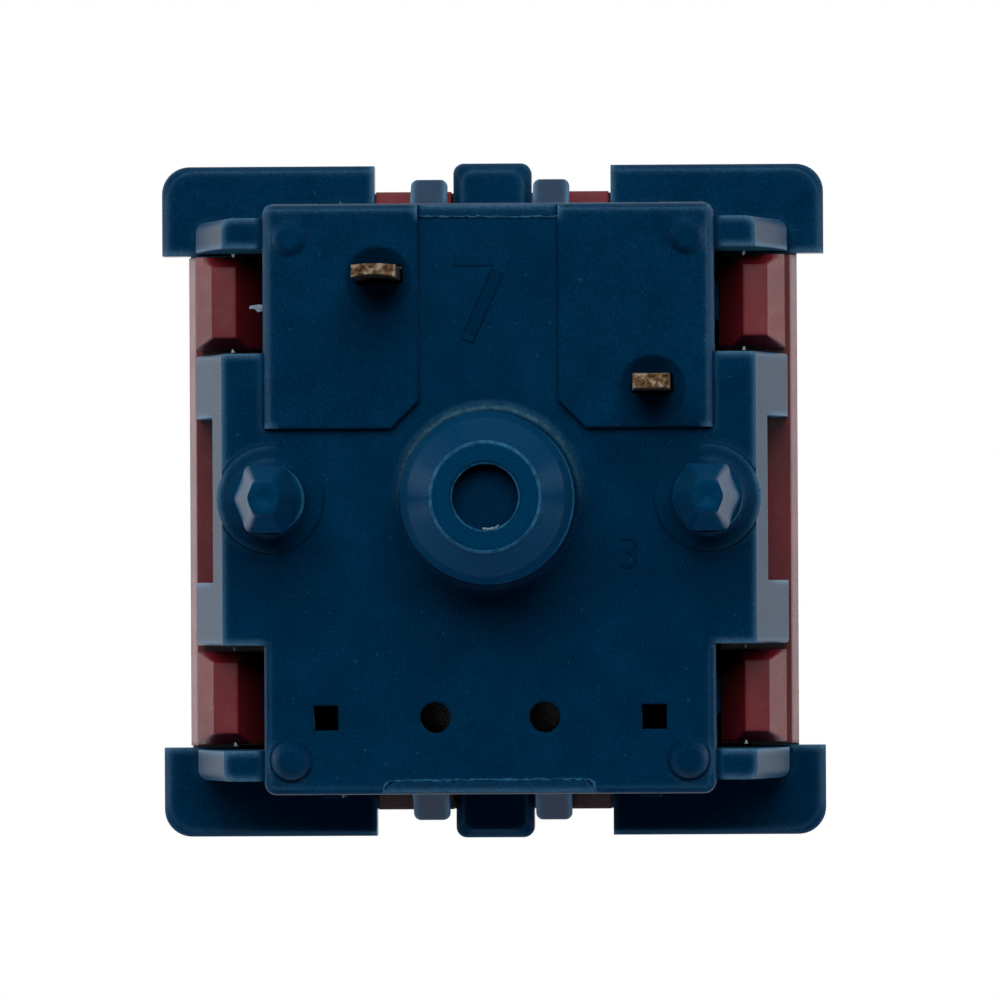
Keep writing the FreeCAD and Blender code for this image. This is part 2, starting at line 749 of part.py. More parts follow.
def stem():
    """Slider: keycap cross, block, hollow skirt with two rails, pole and two legs."""
    block_z = housing_top_z - stem_block_height
    top = rounded_block(stem_block_width, stem_block_depth, stem_block_radius, block_z, housing_top_z)
    skirt = rounded_block(stem_skirt_width, stem_skirt_depth, stem_block_radius,
                          stem_bottom_z, housing_top_z - roof_thickness)
    rail = block(0, rail_x, -rail_width / 2, rail_width / 2, stem_bottom_z, roof_z - stop_gap)
    room = cylinder(spring_room, stem_bottom_z, spring_seat_z)
    body = fused([top, skirt, rail, mirror_x(rail)] + stem_legs()).cut(room)
    pole_z = well_floor_z + travel + 2 * stop_gap
    radius = pole_diameter / 2
    pole = turned([(0, pole_z), (radius - pole_tip_radius, pole_z), (radius, pole_z + pole_tip_radius),
                   (radius, spring_seat_z + stop_gap), (0, spring_seat_z + stop_gap)])
    top_z = housing_top_z + cross_height
    cross = []
    for width, depth in ((cross_width, cross_arm_x), (cross_arm_y, cross_width)):
        chamfer = 2 * cross_chamfer
        outlines = [
            rounded_outline(width, depth, cross_chamfer, housing_top_z - stop_gap),
            rounded_outline(width, depth, cross_chamfer, top_z - cross_chamfer),
            rounded_outline(width - chamfer, depth - chamfer, cross_chamfer, top_z),
        ]
        cross.append(stacked(outlines))
    return fused([body, pole] + cross)


def wire_along(points, diameter):
    """Flat-sided wire along a chain of points, mitred at each point."""
    directions = [(after - before).normalize() for before, after in zip(points, points[1:])]
    along = directions[0]
    outwards = V(1, 0, 0)
    across = along.cross(outwards).normalize()
    ring = []
    for side in range(wire_sides):
        angle = 2 * math.pi * side / wire_sides
        offset = across * math.cos(angle) + across.cross(along) * math.sin(angle)
        ring.append(points[0] + offset * (diameter / 2))
    faces = [Part.Face(Part.makePolygon(ring + ring[:1]))]
    for index, along in enumerate(directions):
        ahead = directions[min(index + 1, len(directions) - 1)]
        plane = along + ahead
        end = points[index + 1]
        moved = [corner + along * ((end - corner).dot(plane) / along.dot(plane)) for corner in ring]
        for side in range(wire_sides):
            corners = [ring[side - 1], ring[side], moved[side], moved[side - 1]]
            faces.append(Part.Face(Part.makePolygon(corners + corners[:1])))
        ring = moved
    faces.append(Part.Face(Part.makePolygon(ring + ring[:1])))
    shell = Part.Shell(faces)
    shell.sewShape()
    return Part.Solid(shell.Shells[0])


def spring():
    """Return spring between the floor and the stem, with closed ends."""
    radius = spring_diameter / 2
    length = spring_seat_z - floor_z - wire_diameter
    closed_pitch = wire_diameter + closed_spacing
    open_pitch = (length - 2 * closed_turns * closed_pitch) / active_turns
    turns = active_turns + 2 * closed_turns
    points = []
    for step in range(turns * steps_per_turn + 1):
        turn = step / steps_per_turn
        open_turns = min(max(turn - closed_turns, 0), active_turns)
        z = floor_z + wire_diameter / 2 + open_turns * open_pitch + (turn - open_turns) * closed_pitch
        angle = 2 * math.pi * turn
        points.append(V(radius * math.cos(angle), radius * math.sin(angle), z))
    return wire_along(points, wire_diameter)


def moving_contact():
    """Sprung leaf: curved terminal, base, hairpin over the top, two noses and a middle finger."""
    half = leaf_thickness / 2
    nose_z = stem_bottom_z + leg_lead_height + nose_rise
    rounding = nose_radius * (1 / math.cos(math.atan(nose_slope)) - 1)
    nose_y = leg_y + slot_gap + half - rounding
    front_drop = (leaf_front_y - nose_y) / nose_slope
    hairpin_z = nose_z + front_drop + leaf_neck + leaf_bend
    base_z = floor_z + leaf_base_rise
    hairpin = [(leaf_back_y, hairpin_z), (leaf_front_y, hairpin_z)]
    bends = [leaf_bend, leaf_bend]
    arm = bent_strip([(leaf_back_y, base_z)] + hairpin + [
        (leaf_front_y, nose_z + front_drop), (nose_y, nose_z),
        (leaf_front_y - half, nose_z - front_drop + half)],
        leaf_thickness, bends + [nose_radius, nose_radius], leg_x - leg_width / 2, leg_x + leg_width / 2)
    finger = bent_strip([(leaf_back_y, hairpin_z - leaf_strip)] + hairpin + [
        (leaf_front_y, contact_z - bar_length / 2)],
        leaf_thickness, bends, -finger_width / 2, finger_width / 2)
    bridge = bent_strip([(leaf_back_y, hairpin_z - leaf_strip)] + hairpin + [
        (leaf_front_y, hairpin_z - leaf_strip)],
        leaf_thickness, bends, -leg_x, leg_x)
    base = block(-leaf_width / 2, leaf_width / 2, leaf_back_y - half, leaf_back_y + half,
                 base_z, base_z + leaf_base_height)
    x0 = moving_terminal_hole[0] - moving_terminal_width / 2
    neck = bent_strip([(moving_terminal_y, floor_z - root_depth),
                       (moving_terminal_y, floor_z + slot_gap),
                       (leaf_back_y, base_z - leaf_thickness), (leaf_back_y, base_z + leaf_strip)],
                      leaf_thickness, [leaf_thickness, leaf_thickness], x0, x0 + moving_terminal_width)
    return fused([arm, mirror_x(arm), finger, bridge, base, neck, curved_terminal()])


def curved_terminal():
    """Terminal of the sprung leaf, with one crowned and one hollow face so that it is stiff."""
    x = moving_terminal_hole[0]
    half = moving_terminal_width / 2
    outer_y = moving_terminal_y + moving_terminal_thickness / 2
    inner_y = outer_y - moving_terminal_thickness
    crown_y = outer_y - moving_terminal_crown
    edge_y = inner_y - moving_terminal_hollow
    z0 = -pin_length
    crown = [V(x - half, crown_y, z0), V(x, outer_y, z0), V(x + half, crown_y, z0)]
    hollow = [V(x + half, edge_y, z0), V(x, inner_y, z0), V(x - half, edge_y, z0)]
    wire = Part.Wire([Part.Arc(*crown).toShape(), Part.makeLine(crown[2], hollow[0]),
                      Part.Arc(*hollow).toShape(), Part.makeLine(hollow[2], crown[0])])
    return Part.Face(wire).extrude(V(0, 0, floor_z + pin_length))


def fixed_contact():
    """Stiff contact: thick terminal, shoulder and jog over the floor, low plate, upright tongue."""
    half = fixed_thickness / 2
    x0 = fixed_outer_x
    x1 = x0 + fixed_terminal_width
    jog_z = floor_z + seat_gap + half
    plate_top_z = floor_z + seat_gap + fixed_plate_height
    path = [(fixed_terminal_y, -pin_length), (fixed_terminal_y, jog_z),
            (fixed_plate_y, jog_z), (fixed_plate_y, plate_top_z)]
    terminal = bent_strip(path, fixed_thickness, [fixed_bend, fixed_bend], x0, x1)
    tongue = fixed_tongue_width / 2
    outline = [(x0, plate_top_z - fixed_plate_lap), (tongue, plate_top_z - fixed_plate_lap),
               (tongue, contact_z + bar_length / 2), (-tongue, contact_z + bar_length / 2),
               (-tongue, plate_top_z), (x0, plate_top_z)]
    plate = prism_y(outline, fixed_plate_y - half, fixed_plate_y + half)
    shoulder = block(x0, x1, fixed_terminal_y - half - fixed_shoulder, fixed_terminal_y,
                     floor_z + seat_gap, floor_z + seat_gap + fixed_thickness)
    return fused([terminal, plate, shoulder])


def contact_bar(face_y, towards, along_x):
    """Roof-shaped bar of contact metal on a leaf's face. The two bars cross each other."""
    low = bar_width / 2
    ridge = bar_ridge_width / 2
    tip_y = face_y + towards * bar_thickness
    section = [(-low, face_y), (low, face_y), (ridge, tip_y), (-ridge, tip_y)]
    half = bar_length / 2
    if along_x:
        return prism_x([(y, contact_z + across) for across, y in section], -half, half)
    return prism_z(section, contact_z - half, contact_z + half)


def fixed_contact_bar():
    """Bar on the stiff contact, level."""
    return contact_bar(fixed_face_y, 1, True)


def moving_contact_bar():
    """Bar on the sprung leaf's finger, upright."""
    return contact_bar(leaf_front_y - leaf_thickness / 2, -1, False)


pieces = (bottom_housing, top_housing, stem, spring, moving_contact, moving_contact_bar,
          fixed_contact, fixed_contact_bar)

os.makedirs("parts", exist_ok=True)
for piece in pieces:
    shape = piece()
    solids = shape.Solids
    name = piece.__name__
    print(f"{name}: {len(solids)} solid, {shape.Volume:.2f} mm3, valid {shape.isValid()}")
    solids[0].exportStep(f"parts/{name}.step")
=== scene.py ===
"""Mechanical keyboard switch, seen from the board side: its materials, small moulding marks and studio."""
import math
import random

import bmesh
import bpy
from mathutils import Matrix, Vector


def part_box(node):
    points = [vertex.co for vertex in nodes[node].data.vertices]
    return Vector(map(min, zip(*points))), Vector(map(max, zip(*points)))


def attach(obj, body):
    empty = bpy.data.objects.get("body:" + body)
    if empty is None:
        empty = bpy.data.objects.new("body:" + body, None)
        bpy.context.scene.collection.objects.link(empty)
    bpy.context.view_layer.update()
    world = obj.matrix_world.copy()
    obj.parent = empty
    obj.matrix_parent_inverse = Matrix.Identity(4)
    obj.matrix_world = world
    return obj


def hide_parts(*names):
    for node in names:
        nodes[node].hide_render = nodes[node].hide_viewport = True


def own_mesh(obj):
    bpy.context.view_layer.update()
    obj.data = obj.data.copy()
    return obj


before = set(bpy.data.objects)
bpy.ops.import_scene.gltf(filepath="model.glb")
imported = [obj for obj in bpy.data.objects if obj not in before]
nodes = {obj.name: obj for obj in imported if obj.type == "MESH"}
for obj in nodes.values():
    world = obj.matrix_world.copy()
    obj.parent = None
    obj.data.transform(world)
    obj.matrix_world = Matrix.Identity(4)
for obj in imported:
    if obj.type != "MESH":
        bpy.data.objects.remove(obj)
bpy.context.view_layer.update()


# Bottom housing. The lower shell with the pins is one injection moulding in glass-filled nylon,
# dyed navy. The mould was spark eroded, so every face carries a fine matt grain, and the steep
# walls look paler, because a matt face turns shiny when it is seen edge on.

MM = 0.001
nylon_ior = 1.53
nylon_mottle_mm = 1.1
nylon_grain_mm = 0.06
nylon_scratch_mm = 0.16
nylon_edge_mm = 0.11
navy_deep = "#002038"
navy_face = "#00253E"
navy_pale = "#002A46"
navy_post_and_pins = "#002E4A"
# The next navy is painted shade in the hole; the two after it are painted highlights, the first of them also
# used for the bare glass specks.
navy_hole_shade = "#001F36"
navy_specks_and_highlight = "#365460"
navy_edge_highlight = "#466A84"
navy_gloss = "#3C8CC8"
navy_sheen = "#58B2E0"
hole_radius_mm = 0.8
ring_inner_mm = 2.03
ring_outer_mm = 2.33
edge_highlight_reach_mm = 0.36
rim_x_mm = 4.85
rim_y_mm = 6.4
rim_fade_mm = 0.25


def linear(hex_colour):
    """Linear colour of an sRGB hex value."""
    channels = [int(hex_colour[i:i + 2], 16) / 255 for i in (1, 3, 5)]
    return tuple(c / 12.92 if c <= 0.04045 else ((c + 0.055) / 1.055) ** 2.4 for c in channels) + (1.0,)


def grey(level):
    """Opaque grey of a linear level."""
    return (level, level, level, 1.0)


def add(tree, kind, settings=None, links=None):
    """Adds a node, sets its properties and sockets, and links its inputs."""
    node = tree.nodes.new(kind)
    for name, value in (settings or {}).items():
        if name in node.inputs:
            node.inputs[name].default_value = value
        elif name.isdigit():
            node.inputs[int(name)].default_value = value
        else:
            setattr(node, name, value)
    for name, output in (links or {}).items():
        tree.links.new(output, node.inputs[int(name) if name.isdigit() else name])
    return node


def new_material(name):
    """Empty node material, its tree and its output node."""
    material = bpy.data.materials.new(name)
    material.use_nodes = True
    tree = material.node_tree
    tree.nodes.clear()
    return material, tree, tree.nodes.new("ShaderNodeOutputMaterial")


def fill_ramp(node, stops):
    """Puts (place, colour) stops on a colour ramp."""
    ramp = node.color_ramp
    while len(ramp.elements) < len(stops):
        ramp.elements.new(1.0)
    for element, (place, colour) in zip(ramp.elements, stops):
        element.position = place
        element.color = colour


def dress(name, material):
    """Gives a carried-over solid its one material."""
    nodes[name].data.materials.clear()
    nodes[name].data.materials.append(material)


navy_nylon, tree, out = new_material("navy_nylon_spark_eroded")
place = add(tree, "ShaderNodeTexCoord").outputs["Object"]
level = add(tree, "ShaderNodeSeparateXYZ", {}, {"Vector": place}).outputs["Z"]
# Colour drifts by a few percent over a millimetre or so, as dyed nylon does where it froze first.
mottle = add(tree, "ShaderNodeTexNoise",
             {"Scale": 1 / (nylon_mottle_mm * MM), "Detail": 3.0, "Roughness": 0.6}, {"Vector": place})
tone = add(tree, "ShaderNodeValToRGB", {}, {"Fac": mottle.outputs["Fac"]})
fill_ramp(tone, [(0.3, linear(navy_deep)), (0.55, linear(navy_face)), (0.8, linear(navy_pale))])
# The post and the pins come out of turned inserts. They are given a paler navy than the eroded floor,
# and they are all that reaches below the board's top face.
below_board = add(tree, "ShaderNodeMapRange", {"From Min": -0.1 * MM, "From Max": -0.9 * MM},
                  {"Value": level})
# The hole in the post's tip is painted a darker navy: painted shade in the hollow.
from_axis = add(tree, "ShaderNodeVectorMath", {"operation": "MULTIPLY", "1": (1.0, 1.0, 0.0)}, {"0": place})
radius = add(tree, "ShaderNodeVectorMath", {"operation": "LENGTH"}, {"0": from_axis.outputs["Vector"]})
hole_shade = add(tree, "ShaderNodeMapRange",
              {"From Min": (hole_radius_mm + 0.04) * MM, "From Max": (hole_radius_mm - 0.02) * MM},
              {"Value": radius.outputs["Value"]})
# A paler ring is painted on the floor round the post's root and broken up by noise: a painted
# highlight where the light catches the root, which fades out on the near side, in the post's shadow.
across = add(tree, "ShaderNodeMapRange", {"From Min": ring_inner_mm * MM, "From Max": ring_outer_mm * MM},
             {"Value": radius.outputs["Value"]})
band = add(tree, "ShaderNodeValToRGB", {}, {"Fac": across.outputs["Result"]})
fill_ramp(band, [(0.0, grey(0)), (0.3, grey(1)), (0.5, grey(0.35)), (1.0, grey(0))])
outside = add(tree, "ShaderNodeMapRange", {"From Min": 0.45 * MM, "From Max": 0.38 * MM}, {"Value": level})
scratches = add(tree, "ShaderNodeTexNoise",
                {"Scale": 1 / (nylon_scratch_mm * MM), "Detail": 3.0, "Roughness": 0.7}, {"Vector": place})
highlight_breakup = add(tree, "ShaderNodeMapRange", {"From Min": 0.3, "From Max": 0.6, "To Min": 0.25},
            {"Value": scratches.outputs["Fac"]})
lit_far_half = add(tree, "ShaderNodeMapRange", {"From Min": -0.4 * MM, "From Max": 1.9 * MM},
               {"Value": add(tree, "ShaderNodeSeparateXYZ", {}, {"Vector": place}).outputs["Y"]})
root_highlight = band.outputs["Color"]
for share in (outside, highlight_breakup, lit_far_half):
    root_highlight = add(tree, "ShaderNodeMath", {"operation": "MULTIPLY"},
               {"0": root_highlight, "1": share.outputs["Result"]}).outputs["Value"]
# A few specks of glass filler lie bare at the surface.
bare = add(tree, "ShaderNodeMapRange", {"From Min": 0.66, "From Max": 0.74, "To Max": 0.35},
           {"Value": scratches.outputs["Fac"]})
# Outer edges are painted paler over a third of a millimetre, a painted highlight where rounded edges
# catch the light. The bevel's normal leans away from the face's own near an edge, and the occlusion
# keeps inner corners out of it. It is painted only on the rim above the board, not on its floor.
leaning = add(tree, "ShaderNodeBevel", {"samples": 8, "Radius": edge_highlight_reach_mm * MM})
true_normal = add(tree, "ShaderNodeNewGeometry").outputs["True Normal"]
flatness = add(tree, "ShaderNodeVectorMath", {"operation": "DOT_PRODUCT"},
               {"0": leaning.outputs["Normal"], "1": true_normal})
near_edge = add(tree, "ShaderNodeMapRange", {"From Min": 0.995, "From Max": 0.7},
                {"Value": flatness.outputs["Value"]})
openness = add(tree, "ShaderNodeAmbientOcclusion",
               {"samples": 8, "only_local": True, "Distance": 0.25 * MM})
open_edge = add(tree, "ShaderNodeMapRange", {"From Min": 0.75, "From Max": 0.97},
                {"Value": openness.outputs["AO"]})
out_from_middle = add(tree, "ShaderNodeVectorMath", {"operation": "ABSOLUTE"}, {"0": place})
sides = add(tree, "ShaderNodeSeparateXYZ", {}, {"Vector": out_from_middle.outputs["Vector"]})
side_rim = add(tree, "ShaderNodeMapRange",
               {"From Min": rim_x_mm * MM, "From Max": (rim_x_mm + rim_fade_mm) * MM},
               {"Value": sides.outputs["X"]})
end_rim = add(tree, "ShaderNodeMapRange",
              {"From Min": rim_y_mm * MM, "From Max": (rim_y_mm + rim_fade_mm) * MM},
              {"Value": sides.outputs["Y"]})
rim = add(tree, "ShaderNodeMath", {"operation": "MAXIMUM"},
          {"0": side_rim.outputs["Result"], "1": end_rim.outputs["Result"]})
above_board = add(tree, "ShaderNodeMapRange", {"From Min": -0.3 * MM, "From Max": 0.1 * MM},
                  {"Value": level})
edge_highlight = near_edge.outputs["Result"]
for share in (open_edge.outputs["Result"], rim.outputs["Value"], above_board.outputs["Result"]):
    edge_highlight = add(tree, "ShaderNodeMath", {"operation": "MULTIPLY"},
                 {"0": edge_highlight, "1": share}).outputs["Value"]
# The places above, the painted shade and painted highlights among them, are laid over the mottled
# colour, one after another.
skin = tone.outputs["Color"]
for laid_over, share in ((navy_post_and_pins, below_board.outputs["Result"]),
                         (navy_hole_shade, hole_shade.outputs["Result"]),
                         (navy_specks_and_highlight, root_highlight),
                         (navy_specks_and_highlight, bare.outputs["Result"]),
                         (navy_edge_highlight, edge_highlight)):
    skin = add(tree, "ShaderNodeMix", {"data_type": "RGBA", "7": linear(laid_over)},
               {"Factor": share, "6": skin}).outputs[2]
# The eroded grain darkens and lightens the colour, and roughens and lifts the skin with it.
grain = add(tree, "ShaderNodeTexNoise",
            {"Scale": 1 / (nylon_grain_mm * MM), "Detail": 2.0, "Roughness": 0.7}, {"Vector": place})
speck = add(tree, "ShaderNodeValToRGB", {}, {"Fac": grain.outputs["Fac"]})
fill_ramp(speck, [(0.35, grey(0.78)), (0.7, grey(1.26))])
colour = add(tree, "ShaderNodeMix", {"data_type": "RGBA", "blend_type": "MULTIPLY", "Factor": 1.0},
             {"6": skin, "7": speck.outputs["Color"]})
rough = add(tree, "ShaderNodeMapRange", {"From Min": 0.3, "From Max": 0.7, "To Min": 0.3, "To Max": 0.38},
            {"Value": grain.outputs["Fac"]})
# Moulded edges are never sharp: this rounds them in the shading by a tenth of a millimetre.
edges = add(tree, "ShaderNodeBevel", {"samples": 4, "Radius": nylon_edge_mm * MM})
bump = add(tree, "ShaderNodeBump", {"Strength": 0.35, "Distance": 0.006 * MM},
           {"Height": grain.outputs["Fac"], "Normal": edges.outputs["Normal"]})
shader = add(tree, "ShaderNodeBsdfPrincipled",
             {"IOR": nylon_ior, "Specular IOR Level": 0.09, "Specular Tint": linear(navy_gloss),
              "Sheen Weight": 0.2, "Sheen Roughness": 0.2, "Sheen Tint": linear(navy_sheen)},
             {"Base Color": colour.outputs[2], "Roughness": rough.outputs["Result"],
              "Normal": bump.outputs["Normal"]})
tree.links.new(shader.outputs["BSDF"], out.inputs["Surface"])

dress("bottom_housing", navy_nylon)


# Rolled edges of the tips. The inserts of the post and pins were polished by hand, which rolled their
# edges over: a fine bead stands round the flat of each tip and another round the mouth of the hole.
# The beads are painted paler than the skin beside them, as a painted highlight along these edges.

highlight_wave_mm = 0.2
highlight_deep = "#10384F"
highlight_pale = "#265674"
pin_x = 5.08
bead_steps = 96
bead_sides = 10

pale_highlight_nylon, tree, out = new_material("navy_nylon_painted_highlight")
place = add(tree, "ShaderNodeTexCoord").outputs["Object"]
wave = add(tree, "ShaderNodeTexNoise", {"Scale": 1 / (highlight_wave_mm * MM), "Detail": 2.0},
           {"Vector": place})
# Painted highlight: a paler navy than the skin, varied by noise.
tone = add(tree, "ShaderNodeValToRGB", {}, {"Fac": wave.outputs["Fac"]})
fill_ramp(tone, [(0.35, linear(highlight_deep)), (0.65, linear(highlight_pale))])
shader = add(tree, "ShaderNodeBsdfPrincipled",
             {"IOR": nylon_ior, "Roughness": 0.5, "Specular IOR Level": 0.2,
              "Specular Tint": linear(navy_gloss)}, {"Base Color": tone.outputs["Color"]})
tree.links.new(shader.outputs["BSDF"], out.inputs["Surface"])


def placed(name, shape, material, smooth=False):
    """Object of a finished mesh, in the scene and in its material."""
    data = bpy.data.meshes.new(name)
    shape.to_mesh(data)
    shape.free()
    if smooth:
        data.polygons.foreach_set("use_smooth", [True] * len(data.polygons))
    data.materials.append(material)
    piece = bpy.data.objects.new(name, data)
    bpy.context.scene.collection.objects.link(piece)
    return piece


def bead(name, x, radius, z, thickness):
    """Fine round ridge about an upright axis."""
    shape = bmesh.new()
    hoops = []
    for step in range(bead_steps):
        turn = 2 * math.pi * step / bead_steps
        hoop = []
        for side in range(bead_sides):
            lean = 2 * math.pi * side / bead_sides
            reach = radius + thickness / 2 * math.cos(lean)
            hoop.append(shape.verts.new(Vector((x + reach * math.cos(turn), reach * math.sin(turn),
                                                z + thickness / 2 * math.sin(lean))) * MM))
        hoops.append(hoop)
    for index, hoop in enumerate(hoops):
        following = hoops[(index + 1) % bead_steps]
        for side in range(bead_sides):
            shape.faces.new([hoop[side - 1], hoop[side], following[side], following[side - 1]])
    bmesh.ops.recalc_face_normals(shape, faces=shape.faces)
    piece = placed(name, shape, pale_highlight_nylon, smooth=True)
    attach(piece, "housing")


bead("bead_round_post", 0, 1.24, -3.24, 0.12)
bead("bead_round_hole", 0, 0.82, -3.23, 0.14)
for side, x in (("left", pin_x), ("right", -pin_x)):
    bead(f"bead_round_pin_{side}", x, 0.33, -3.26, 0.08)


# Cavity number. A small raised numeral on the floor tells which cavity of the mould the part came
# from. It is cut into the mould, so it is the same nylon, a few hundredths of a millimetre proud.

face_z = 0.36


def raised_numeral(name, text, size, x, y, height):
    """Raised numeral that reads from the board side, on the floor."""
    curve = bpy.data.curves.new(name, "FONT")
    curve.body = text
    curve.size = size * MM
    curve.align_x = "CENTER"
    curve.align_y = "CENTER"
    curve.extrude = height / 2 * MM
    curve.bevel_depth = height / 2 * MM
    numeral = bpy.data.objects.new(name, curve)
    bpy.context.scene.collection.objects.link(numeral)
    numeral.matrix_world = (Matrix.Translation(Vector((x, y, face_z)) * MM)
                            @ Matrix.Rotation(math.pi, 4, "Y"))
    bpy.context.view_layer.update()
    mesh = bpy.data.meshes.new_from_object(numeral.evaluated_get(bpy.context.evaluated_depsgraph_get()))
    solid = bpy.data.objects.new(name + "_mark", mesh)
    bpy.context.scene.collection.objects.link(solid)
    solid.matrix_world = numeral.matrix_world
    bpy.data.objects.remove(numeral)
    solid.data.materials.clear()
    solid.data.materials.append(navy_nylon)
    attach(solid, "housing")


raised_numeral("cavity_number", "7", 3.0, 0.15, 4.55, 0.04)
raised_numeral("insert_number", "3", 1.1, -3.25, -1.3, 0.02)


# Top housing. The upper shell and its four clip loops are one moulding in dark red polycarbonate
# from a polished mould, so it is glossy, and a clear skin over the dyed plastic gives it depth.

red_deep = "#5C1319"
red_face = "#691920"
red_flow_mm = 2.2
red_smear_mm = 0.35
red_edge_mm = 0.12

red_polycarbonate, tree, out = new_material("red_polycarbonate_polished")
place = add(tree, "ShaderNodeTexCoord").outputs["Object"]
flow = add(tree, "ShaderNodeTexNoise", {"Scale": 1 / (red_flow_mm * MM), "Detail": 3.0, "Distortion": 0.6},
           {"Vector": place})
tone = add(tree, "ShaderNodeValToRGB", {}, {"Fac": flow.outputs["Fac"]})
fill_ramp(tone, [(0.35, linear(red_deep)), (0.65, linear(red_face))])
# Handling leaves faint smears, which show only as patches that are a little less glossy.
smear = add(tree, "ShaderNodeTexNoise", {"Scale": 1 / (red_smear_mm * MM), "Detail": 4.0}, {"Vector": place})
rough = add(tree, "ShaderNodeMapRange", {"From Min": 0.35, "From Max": 0.75, "To Min": 0.2, "To Max": 0.32},
            {"Value": smear.outputs["Fac"]})
edges = add(tree, "ShaderNodeBevel", {"samples": 4, "Radius": red_edge_mm * MM})
bump = add(tree, "ShaderNodeBump", {"Strength": 0.15, "Distance": 0.01 * MM},
           {"Height": smear.outputs["Fac"], "Normal": edges.outputs["Normal"]})
shader = add(tree, "ShaderNodeBsdfPrincipled",
             {"IOR": 1.58, "Specular IOR Level": 0.2, "Coat Weight": 0.3, "Coat Roughness": 0.12},
             {"Base Color": tone.outputs["Color"], "Roughness": rough.outputs["Result"],
              "Normal": bump.outputs["Normal"]})
tree.links.new(shader.outputs["BSDF"], out.inputs["Surface"])

dress("top_housing", red_polycarbonate)


# Stem. The slider with the keycap cross is moulded in acetal, which is ivory, slightly waxy and
# slippery. It runs in the two guides of the bottom housing and is held down by the top housing.

ivory = "#DCD5C6"
ivory_shade = "#CFC7B5"
ivory_cloud_mm = 1.8
ivory_wax_mm = 0.08
ivory_edge_mm = 0.05

ivory_acetal, tree, out = new_material("ivory_acetal_moulded")
place = add(tree, "ShaderNodeTexCoord").outputs["Object"]
cloud = add(tree, "ShaderNodeTexNoise", {"Scale": 1 / (ivory_cloud_mm * MM), "Detail": 3.0},
            {"Vector": place})
tone = add(tree, "ShaderNodeValToRGB", {}, {"Fac": cloud.outputs["Fac"]})
fill_ramp(tone, [(0.35, linear(ivory_shade)), (0.65, linear(ivory))])
wax = add(tree, "ShaderNodeTexNoise", {"Scale": 1 / (ivory_wax_mm * MM), "Detail": 2.0}, {"Vector": place})
rough = add(tree, "ShaderNodeMapRange", {"To Min": 0.32, "To Max": 0.46}, {"Value": wax.outputs["Fac"]})
edges = add(tree, "ShaderNodeBevel", {"samples": 4, "Radius": ivory_edge_mm * MM})
bump = add(tree, "ShaderNodeBump", {"Strength": 0.2, "Distance": 0.004 * MM},
           {"Height": wax.outputs["Fac"], "Normal": edges.outputs["Normal"]})
shader = add(tree, "ShaderNodeBsdfPrincipled",
             {"IOR": 1.48, "Subsurface Weight": 0.15, "Subsurface Radius": (0.6, 0.5, 0.35),
              "Subsurface Scale": 0.5 * MM},
             {"Base Color": tone.outputs["Color"], "Roughness": rough.outputs["Result"],
              "Normal": bump.outputs["Normal"]})
tree.links.new(shader.outputs["BSDF"], out.inputs["Surface"])

dress("stem", ivory_acetal)


# Spring. Round stainless wire, cold coiled with one closed turn at each end. It stands on the floor
# round the column and reaches up into the stem. The coil is built at one length and does not
# shorten as the stem goes down.

wire_diameter = 0.22
spring_diameter = 4.0
active_turns = 9
closed_turns = 1
closed_spacing = 1.045
steps_per_turn = 40
wire_sides = 10
wire_line_mm = 0.05

spring_wire, tree, out = new_material("stainless_spring_wire_drawn")
place = add(tree, "ShaderNodeTexCoord").outputs["Object"]
# Drawing through the die leaves fine lines along the wire, here as coarse as they need to show.
draw = add(tree, "ShaderNodeTexNoise", {"Scale": 1 / (wire_line_mm * MM), "Detail": 3.0}, {"Vector": place})
rough = add(tree, "ShaderNodeMapRange", {"To Min": 0.2, "To Max": 0.38}, {"Value": draw.outputs["Fac"]})
tone = add(tree, "ShaderNodeValToRGB", {}, {"Fac": draw.outputs["Fac"]})
fill_ramp(tone, [(0.3, linear("#A9A9AC")), (0.7, linear("#C9C9CB"))])
shader = add(tree, "ShaderNodeBsdfPrincipled", {"Metallic": 1.0},
             {"Base Color": tone.outputs["Color"], "Roughness": rough.outputs["Result"]})
tree.links.new(shader.outputs["BSDF"], out.inputs["Surface"])

spring_low, spring_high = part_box("spring")
turns = active_turns + 2 * closed_turns
low_z = spring_low.z + wire_diameter / 2 * MM
length = spring_high.z - spring_low.z - wire_diameter * MM
closed_pitch = wire_diameter * closed_spacing * MM
open_pitch = (length - 2 * closed_turns * closed_pitch) / active_turns
centres = []
for step in range(turns * steps_per_turn + 1):
    turn = step / steps_per_turn
    opened = min(max(turn - closed_turns, 0), active_turns)
    angle = 2 * math.pi * turn
    centres.append(Vector((spring_diameter / 2 * MM * math.cos(angle),
                           spring_diameter / 2 * MM * math.sin(angle),
                           low_z + opened * open_pitch + (turn - opened) * closed_pitch)))
shape = bmesh.new()
rings = []
for index, centre in enumerate(centres):
    along = (centres[min(index + 1, len(centres) - 1)] - centres[max(index - 1, 0)]).normalized()
    outwards = Vector((centre.x, centre.y, 0)).normalized()
    across = along.cross(outwards).normalized()
    ring = []
    for side in range(wire_sides):
        turn = 2 * math.pi * side / wire_sides
        ring.append(shape.verts.new(centre + (outwards * math.cos(turn) + across * math.sin(turn))
                                    * wire_diameter / 2 * MM))
    rings.append(ring)
for ring, following in zip(rings, rings[1:]):
    for side in range(wire_sides):
        shape.faces.new([ring[side - 1], ring[side], following[side], following[side - 1]])
shape.faces.new(rings[0])
shape.faces.new(list(reversed(rings[-1])))
bmesh.ops.recalc_face_normals(shape, faces=shape.faces)
return_spring = placed("return_spring", shape, spring_wire, smooth=True)
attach(return_spring, "housing")
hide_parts("spring")
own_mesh(return_spring)


